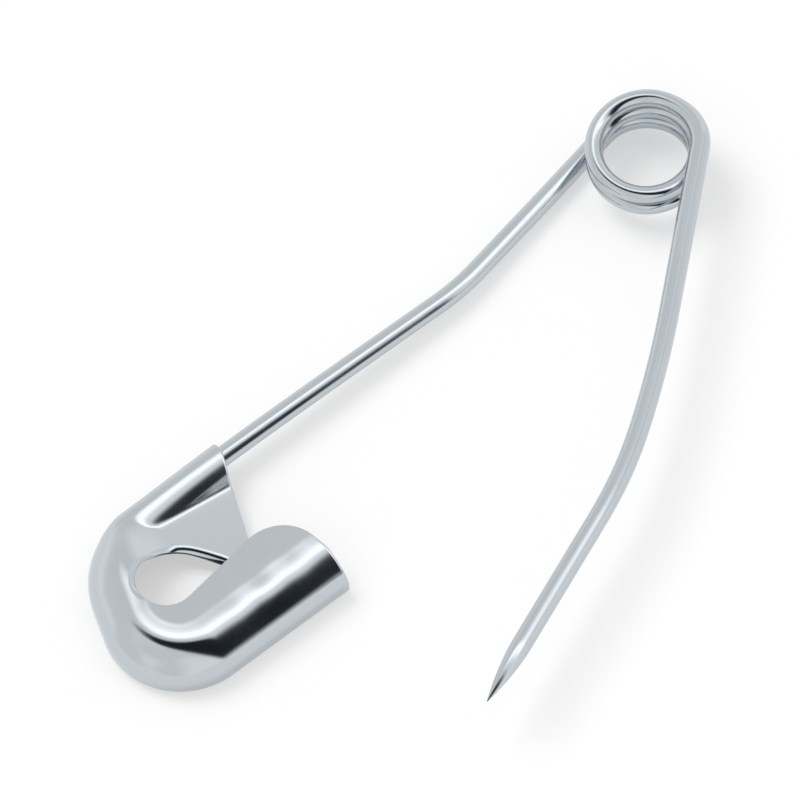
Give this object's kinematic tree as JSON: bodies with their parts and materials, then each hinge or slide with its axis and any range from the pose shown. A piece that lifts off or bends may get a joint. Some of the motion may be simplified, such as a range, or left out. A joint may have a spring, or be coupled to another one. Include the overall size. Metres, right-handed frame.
{
  "type": "safety pin",
  "caption": "Large curved safety pin with a coiled spring, a sheet metal cap with a window, and a sharp point arm that swings open from the guard",
  "frame": {"origin": "On the flat back of the cap, at z = 0, between the window and the mouth of the guard", "axes": "+X runs along the fixed arm from the cap to the coil, the point arm lies on the -Y side, and +Z leaves the front of the pin"},
  "size_m": [0.1019, 0.0573, 0.0097],
  "materials": {
    "cap_plate": "bright nickel plated sheet steel",
    "wire_plate": "bright nickel plated spring steel wire"
  },
  "bodies": {
    "fixed_frame": {"clasp_cap": "cap_plate", "spine_arm": "wire_plate"},
    "coil": {"spring_coil": "wire_plate"},
    "point_arm": {"pin_arm": "wire_plate"}
  },
  "joints": [
    {"name": "lateral_flex", "type": "hinge", "parent": "fixed_frame", "child": "coil", "pos_m": [0.07254, 0.01171, 0.00484], "axis": [0, 1, 0], "range_deg": [-3.2, 4], "stiffness_Nm_per_rad": 0.25},
    {"name": "arm_swing", "type": "hinge", "parent": "coil", "child": "point_arm", "pos_m": [0.07254, 0.01171, 0.00484], "axis": [0, 0, 1], "range_deg": [-32.5, 20], "stiffness_Nm_per_rad": 0.25, "deforming": ["spring_coil"]}
  ]
}
